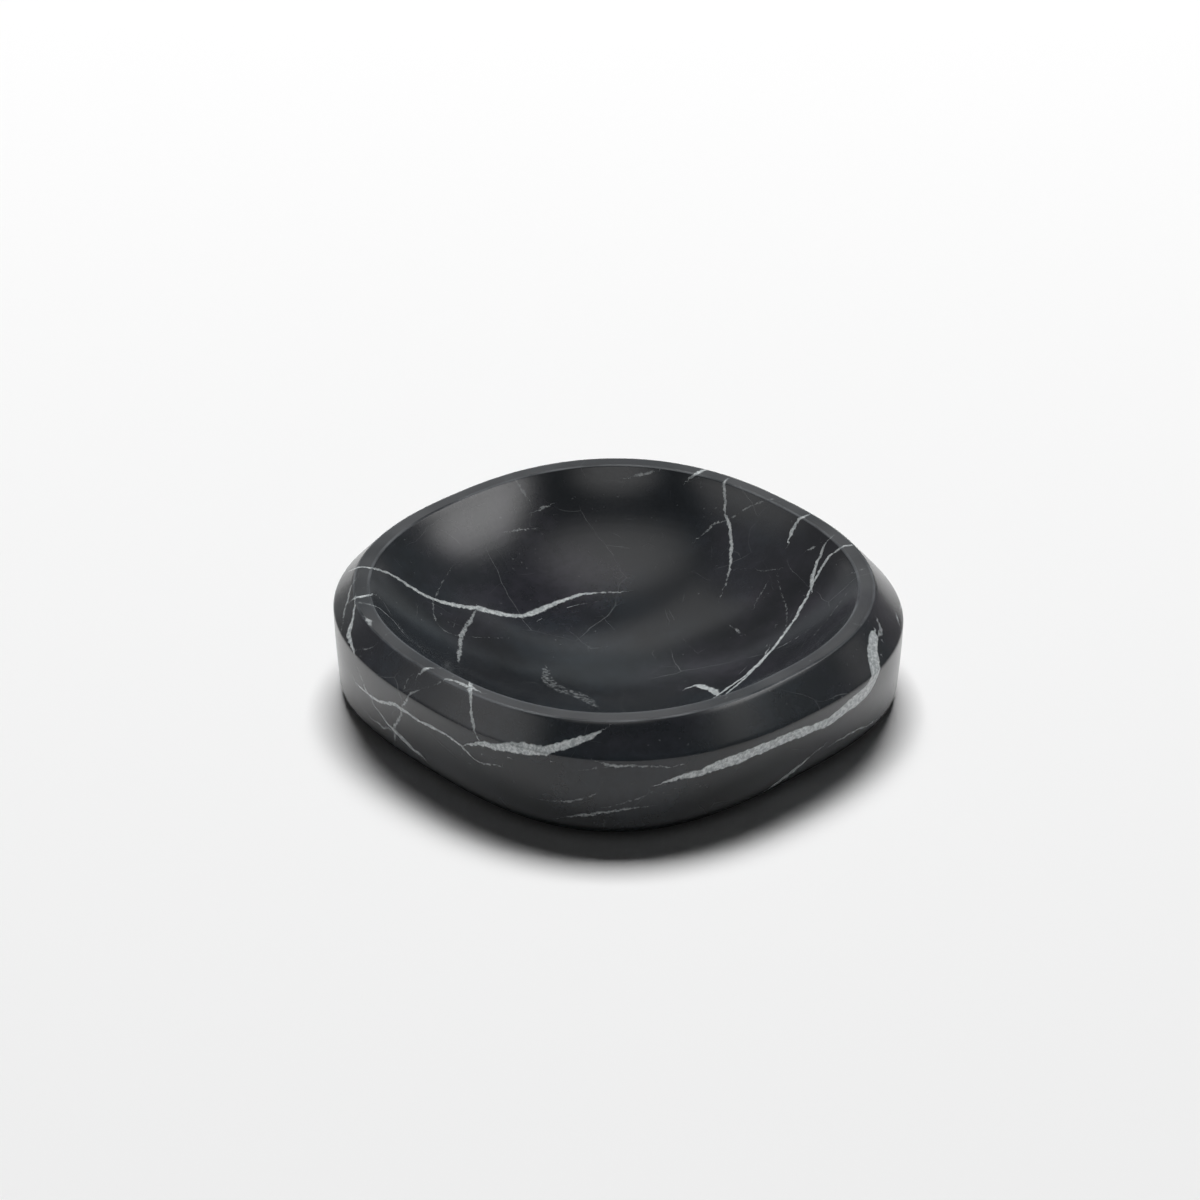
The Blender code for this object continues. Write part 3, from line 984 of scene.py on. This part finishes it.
@dataclass
class VeinMap:
    """Lays veins over the bowl's skin and stores them on its mesh, in layers that keep them apart."""

    bowl: CarvedBowl
    piece: bpy.types.Object
    camera: bpy.types.Object
    reach: float = 4.2  # millimetres to each side of a vein that its layer keeps for it
    fade: tuple[float, float] = (3.1, 0.7)  # millimetres: where a vein has faded out, and over how much
    full_width: float = 0.8  # millimetres from which on a vein is as pale as its strength says
    thin_share: float = 0.5  # least share of its strength that a thin vein keeps
    step: float = 1.0  # pixels or degrees between the points of a route
    level_weight: float = 40.0  # degrees of bearing that count as much as one level
    least_length: float = 1e-9  # metres, so that no step of a route counts as having none

    def smooth_route(self, stops: np.ndarray) -> np.ndarray:
        """Points on a smooth curve through the stops.

        Args:
            stops: One row for each stop.

        Returns:
            One row for each point.
        """
        padded = np.vstack([2 * stops[0] - stops[1], stops, 2 * stops[-1] - stops[-2]])
        made = []
        for index in range(len(stops) - 1):
            a, b, c, d = padded[index:index + 4]
            count = max(2, int(np.linalg.norm(c - b) / self.step))
            t = np.arange(count)[:, None] / count
            made.append(0.5 * (2 * b + (c - a) * t + (2 * a - 5 * b + 4 * c - d) * t ** 2
                               + (3 * b - a - 3 * c + d) * t ** 3))
        return np.vstack(made + [stops[-1:]])

    def seen_spots(self, pixels: np.ndarray) -> np.ndarray:
        """Places on the bowl that the photo shows.

        Args:
            pixels: Pixels of the photo, one in each row.

        Returns:
            The place of each pixel that lies on the bowl.
        """
        place = self.camera.matrix_world
        focal = self.camera.data.lens / self.camera.data.sensor_width * PHOTO_SIZE
        spots = []
        for x, y in pixels:
            ray = Vector(((x - PHOTO_SIZE / 2) / focal, (PHOTO_SIZE / 2 - y) / focal, -1)).normalized()
            hit, spot, _, _ = self.piece.ray_cast(place.translation, place.to_3x3() @ ray)
            if hit:
                spots.append(spot)
        return np.array(spots)

    def spots(self, vein: Vein) -> np.ndarray:
        """Route of a vein over the bowl.

        Args:
            vein: The vein.

        Returns:
            Its points, in metres.
        """
        stops = np.array(vein.route, float)
        if vein in SEEN_VEINS:
            return self.seen_spots(self.smooth_route(stops))
        weights = (1, self.level_weight)
        places = self.smooth_route(stops * weights) / weights
        return np.vstack([self.bowl.outline(level).points(np.radians([bearing]))
                          for bearing, level in places])

    def layered(self, routes: list[np.ndarray]) -> list[int]:
        """Spread the routes over layers, so that those in one layer stay clear of each other.

        Args:
            routes: Points of each vein.

        Returns:
            The layer of each.
        """
        layers: list[list[np.ndarray]] = []
        chosen = []
        for route in routes:
            for index, others in enumerate(layers):
                gaps = [np.linalg.norm(route[:, None] - other, axis=-1).min() for other in others]
                if min(gaps) > 2 * self.reach * MM:
                    break
            else:
                index = len(layers)
                layers.append([])
            layers[index].append(route)
            chosen.append(index)
        return chosen

    def measure(self, vein: Vein, route: np.ndarray, spots: np.ndarray, normals: np.ndarray,
                stored: np.ndarray) -> None:
        """Write one vein into its layer: signed distance, half width and strength at each point near it.

        Args:
            vein: The vein.
            route: Its route in metres.
            spots: Points of the mesh.
            normals: Normals of the mesh there.
            stored: The layer's values, in millimetres, which are changed.
        """
        margin = self.reach * MM
        near = np.flatnonzero(((spots > route.min(0) - margin) & (spots < route.max(0) + margin)).all(1))
        start, step = route[:-1], np.diff(route, axis=0)
        length = np.linalg.norm(step, axis=1)
        offset = spots[near][:, None] - start
        share = np.clip((offset * step).sum(-1) / np.maximum(length, self.least_length) ** 2, 0, 1)
        gap = offset - share[..., None] * step
        distance = np.linalg.norm(gap, axis=-1)
        best = distance.argmin(1)
        rows = np.arange(len(near))
        covered = np.concatenate([[0], np.cumsum(length)])[best] + share[rows, best] * length[best]
        side = np.sign((np.cross(step[best], gap[rows, best]) * normals[near]).sum(1))
        shortest = distance[rows, best] / MM
        within = shortest < self.reach
        faded_out, over = self.fade
        width = vein.width_at(covered / length.sum())
        strength = vein.strength * np.clip(width / self.full_width, self.thin_share, 1)
        strength = strength * np.clip((faded_out - shortest) / over, 0, 1)
        values = np.stack([side * shortest, width / 2, strength], axis=1)
        stored[near[within]] = values[within]

    def lay(self) -> int:
        """Store every vein on the mesh.

        Returns:
            How many layers it took.
        """
        mesh = self.piece.data
        spots, normals = vertex_values(mesh, "co"), vertex_values(mesh, "normal")
        veins = SEEN_VEINS + HIDDEN_VEINS
        routes = [self.spots(vein) for vein in veins]
        chosen = self.layered(routes)
        count = max(chosen) + 1
        far = np.array([2 * self.reach, 0.0, 0.0])
        layers = [np.tile(far, (len(spots), 1)) for _ in range(count)]
        for vein, route, layer in zip(veins, routes, chosen):
            self.measure(vein, route, spots, normals, layers[layer])
        for index, layer in enumerate(layers):
            attribute = mesh.attributes.new(LAYER_NAME.format(index), "FLOAT_VECTOR", "POINT")
            attribute.data.foreach_set("vector", layer.astype(np.float32).ravel())
        return count


def vertex_values(mesh: bpy.types.Mesh, name: str) -> np.ndarray:
    """Read a vector of each vertex.

    Args:
        mesh: The mesh.
        name: Blender's name for the vector, such as co or normal.

    Returns:
        One row for each vertex.
    """
    values = np.empty(len(mesh.vertices) * 3, np.float32)
    mesh.vertices.foreach_get(name, values)
    return values.reshape(-1, 3)


def direction(bearing: float, elevation: float, facing: float) -> Vector:
    """Way from the bowl to a spot in the sky.

    Args:
        bearing: Degrees to the right of straight away from the camera.
        elevation: Degrees above the floor.
        facing: Azimuth of the camera, in radians.

    Returns:
        A vector of length one.
    """
    turn = math.radians(bearing) - facing
    lift = math.radians(elevation)
    return Vector((math.sin(turn) * math.cos(lift), math.cos(turn) * math.cos(lift), math.sin(lift)))


@dataclass(frozen=True)
class SoftLamp:
    """One soft rectangular lamp that faces the bowl from a bearing and a height in the sky."""

    name: str
    bearing: float
    elevation: float
    distance: float
    width: float
    height: float
    watts: float

    def add(self, target: Vector, facing: float) -> None:
        """Hang the lamp.

        Args:
            target: Point that the lamp faces.
            facing: Azimuth of the camera, from which bearings are counted.
        """
        data = bpy.data.lights.new(self.name, "AREA")
        data.shape = "RECTANGLE"
        data.size, data.size_y = self.width, self.height
        data.energy = self.watts
        lamp = bpy.data.objects.new(self.name, data)
        away = direction(self.bearing, self.elevation, facing)
        lamp.location = target + away * self.distance
        lamp.rotation_mode = "QUATERNION"
        lamp.rotation_quaternion = away.to_track_quat("Z", "Y")
        lamp.visible_glossy = False
        bpy.context.scene.collection.objects.link(lamp)


@dataclass(frozen=True)
class Sheet:
    """Sheet of cloth that only shows in the stone's polish: dark, grey, or glowing like a lamp's cover."""

    name: str
    bearing: float
    elevation: float
    distance: float
    width: float
    height: float
    tone: float
    fade: float = 0.5  # share of its half width over which it fades out
    roundness: float = 2.0
    tint: Colour = (1.0, 1.0, 1.0)

    def cloth(self) -> bpy.types.Material:
        """Even tone that fades out towards the edges of the sheet.

        Returns:
            The material.
        """
        graph = Graph(self.name)
        edge = SHEET_SIZE / 2
        start, end = edge ** self.roundness, (edge * (1 - self.fade)) ** self.roundness
        share = graph.spread(graph.summed_powers(self.roundness), start, end)
        glow = graph.nodes.new("ShaderNodeEmission")
        glow.inputs["Color"].default_value = (*self.tint, 1.0)
        glow.inputs["Strength"].default_value = self.tone
        clear = graph.nodes.new("ShaderNodeBsdfTransparent")
        both = graph.nodes.new("ShaderNodeMixShader")
        graph.feed(both.inputs["Fac"], share)
        graph.feed(both.inputs[1], clear.outputs["BSDF"])
        graph.feed(both.inputs[2], glow.outputs["Emission"])
        graph.nodes.remove(graph.shader)
        graph.feed(graph.nodes["Material Output"].inputs["Surface"], both.outputs["Shader"])
        return graph.material

    def add(self, target: Vector, facing: float) -> None:
        """Hang the sheet so that it faces the bowl.

        Args:
            target: Point that the sheet faces.
            facing: Azimuth of the camera, from which bearings are counted.
        """
        away = direction(self.bearing, self.elevation, facing)
        bpy.ops.object.select_all(action="DESELECT")
        bpy.ops.mesh.primitive_plane_add(size=SHEET_SIZE, location=target + away * self.distance,
                                         rotation=away.to_track_quat("Z", "Y").to_euler())
        sheet = bpy.context.object
        sheet.name = self.name
        sheet.scale = (self.width, self.height, 1)
        sheet.data.materials.append(self.cloth())
        sheet.visible_camera = False
        sheet.visible_diffuse = False
        sheet.visible_shadow = False


@dataclass
class Studio:
    """Pale floor, soft lamps, pale surroundings and the camera."""

    floor_size: float = 12.0
    floor_tone: Colour = (0.90, 0.90, 0.90)
    azimuth: float = math.radians(-42.8)
    elevation: float = math.radians(30.51)
    distance: float = 1.0539
    lens: float = 120.1
    target: Vector = field(default_factory=lambda: Vector((-0.00355, 0.00329, 0.02623)))
    paleness: float = 0.888
    fill_strength: float = 0.03
    shadow_lift: float = 0.27
    lift_squareness: float = 2.9
    lift_start: Ramp = (0.0665, 0.0715)
    lift_end: Ramp = (0.071, 0.090, 1.0, 0.0)
    lift_front: Ramp = (-0.005, 0.050)
    lamps: tuple[SoftLamp, ...] = (
        SoftLamp("overhead_lamp", 0, 62.5, 5.0, 2.5, 1.9, 292),
    )
    sheets: tuple[Sheet, ...] = (  # nearer ones hide those behind them
        Sheet("camera_side_cloth", 180, 40, 5.3, 16.0, 9.0, 0.17, 0.2, 8, (0.86, 1.0, 1.10)),
        Sheet("right_cloth", 84, 30, 5.2, 9.0, 7.8, 0.27, 0.40, 8, (0.90, 1.0, 1.06)),
        Sheet("left_cloth", -84, 30, 5.1, 7.6, 7.0, 0.32, 0.15, 8, (1.0, 0.985, 1.06)),
        Sheet("ceiling_cloth", 0, 90, 5.0, 12.0, 7.0, 0.08, 0.2, 8, (0.90, 1.0, 1.08)),
        Sheet("backdrop_cloth", 0, 19, 4.8, 8.6, 3.6, 0.44, 0.35, 4, (0.93, 1.0, 1.03)),
        Sheet("backdrop_right_shade", 28, 26, 4.5, 2.9, 1.8, 0.17, 0.30, 4),
        Sheet("backdrop_left_shade", -29, 29, 4.5, 3.1, 2.0, 0.17, 0.30, 4),
        Sheet("right_flag", 44, 3, 0.30, 0.26, 0.13, 0.23, 0.25, 4),
        Sheet("left_flag", -44, 3, 0.30, 0.26, 0.13, 0.42, 0.25, 4),
        Sheet("overhead_glow", 0, 78, 4.0, 4.4, 2.6, 1.35, 1.0, 2),
        Sheet("right_glow", 89, 47, 4.0, 3.4, 2.0, 4.4, 1.0, 2),
        Sheet("right_low_glow", 72, 18, 4.0, 1.6, 1.2, 0.7, 1.0, 2),
        Sheet("camera_side_glow", 180, 68, 4.0, 3.4, 1.5, 1.6, 1.0, 2),
        Sheet("left_glow", -106, 40, 4.0, 4.8, 3.0, 1.3, 1.0, 2),
    )

    def floor_finish(self) -> bpy.types.Material:
        """Pale matt floor whose shadow in front of the bowl is lighter where the stone mirrors it.

        Returns:
            The material.
        """
        graph = Graph("floor")
        graph.shader.inputs["Base Color"].default_value = (*self.floor_tone, 1.0)
        graph.shader.inputs["Roughness"].default_value = 1.0
        graph.shader.inputs["Specular IOR Level"].default_value = 0.0
        reach = graph.math("POWER", graph.summed_powers(self.lift_squareness), 1 / self.lift_squareness)
        start, end = (graph.spread(reach, *ramp) for ramp in (self.lift_start, self.lift_end))
        band = graph.math("MULTIPLY", start, end)
        parts = graph.parts()
        front = graph.math("ADD", graph.math("MULTIPLY", parts["X"], math.sin(self.azimuth)),
                           graph.math("MULTIPLY", parts["Y"], -math.cos(self.azimuth)))
        shown = graph.math("MULTIPLY", band, graph.spread(front, *self.lift_front))
        mirrored = graph.nodes.new("ShaderNodeLightPath").outputs["Is Glossy Ray"]
        graph.shader.inputs["Emission Color"].default_value = (1.0, 1.0, 1.0, 1.0)
        strength = graph.math("MULTIPLY", graph.math("MULTIPLY", shown, mirrored), self.shadow_lift)
        graph.feed(graph.shader.inputs["Emission Strength"], strength)
        return graph.material

    def add_floor(self) -> None:
        """Wide pale floor under the bowl."""
        bpy.ops.object.select_all(action="DESELECT")
        bpy.ops.mesh.primitive_plane_add(size=self.floor_size)
        floor = bpy.context.object
        floor.name = "studio_floor"
        floor.data.materials.append(self.floor_finish())

    def add_world(self) -> None:
        """Pale surroundings: full strength where they are seen or mirrored, dim as a source of light."""
        world = bpy.data.worlds.new("surroundings")
        world.use_nodes = True
        bpy.context.scene.world = world
        nodes, links = world.node_tree.nodes, world.node_tree.links
        shader = nodes["Background"]
        shader.inputs["Color"].default_value = (self.paleness, self.paleness, self.paleness, 1)
        path = nodes.new("ShaderNodeLightPath")
        strength = nodes.new("ShaderNodeMapRange")
        strength.inputs["To Min"].default_value = self.fill_strength
        seen = path.outputs["Is Camera Ray"]
        for way in ("Is Glossy Ray", "Is Transmission Ray"):
            either = nodes.new("ShaderNodeMath")
            either.operation = "MAXIMUM"
            links.new(seen, either.inputs[0])
            links.new(path.outputs[way], either.inputs[1])
            seen = either.outputs[0]
        links.new(seen, strength.inputs["Value"])
        links.new(strength.outputs["Result"], shader.inputs["Strength"])

    def add_camera(self) -> bpy.types.Object:
        """Camera at the photo's viewing angle.

        Returns:
            The camera.
        """
        data = bpy.data.cameras.new("camera")
        data.lens = self.lens
        camera = bpy.data.objects.new("camera", data)
        away = Vector((math.sin(self.azimuth) * math.cos(self.elevation),
                       -math.cos(self.azimuth) * math.cos(self.elevation), math.sin(self.elevation)))
        camera.location = self.target + away * self.distance
        camera.rotation_mode = "QUATERNION"
        camera.rotation_quaternion = away.to_track_quat("Z", "Y")
        bpy.context.scene.collection.objects.link(camera)
        bpy.context.scene.camera = camera
        return camera

    def build(self) -> bpy.types.Object:
        """Set up the whole studio.

        Returns:
            Its camera.
        """
        self.add_floor()
        self.add_world()
        for fitting in self.lamps + self.sheets:
            fitting.add(self.target, self.azimuth)
        return self.add_camera()


def main() -> None:
    """Build the studio, the bowl and its pads."""
    logging.basicConfig(level=logging.INFO, format="%(name)s: %(message)s")
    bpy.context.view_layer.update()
    bpy.context.scene.view_settings.view_transform = "Standard"
    camera = Studio().build()
    pads = [SoftPad(node) for node in PAD_NODES]
    bowl = CarvedBowl()
    piece = bowl.build(pads)
    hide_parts("bowl_body")
    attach(piece, "root")
    bpy.context.view_layer.update()
    layers = VeinMap(bowl, piece, camera).lay()
    piece.data.materials.append(MarbleFinish(bowl.rim_height).build(layers))
    LOG.info("%s: %d faces, veins in %d layers", piece.name, len(piece.data.polygons), layers)
    rubber = RubberFinish().build()
    for pad in pads:
        disc = pad.build()
        disc.data.materials.append(rubber)
        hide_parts(pad.node)
        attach(disc, "root")
        LOG.info("%s: %d faces", disc.name, len(disc.data.polygons))


if __name__ == "__main__":
    main()
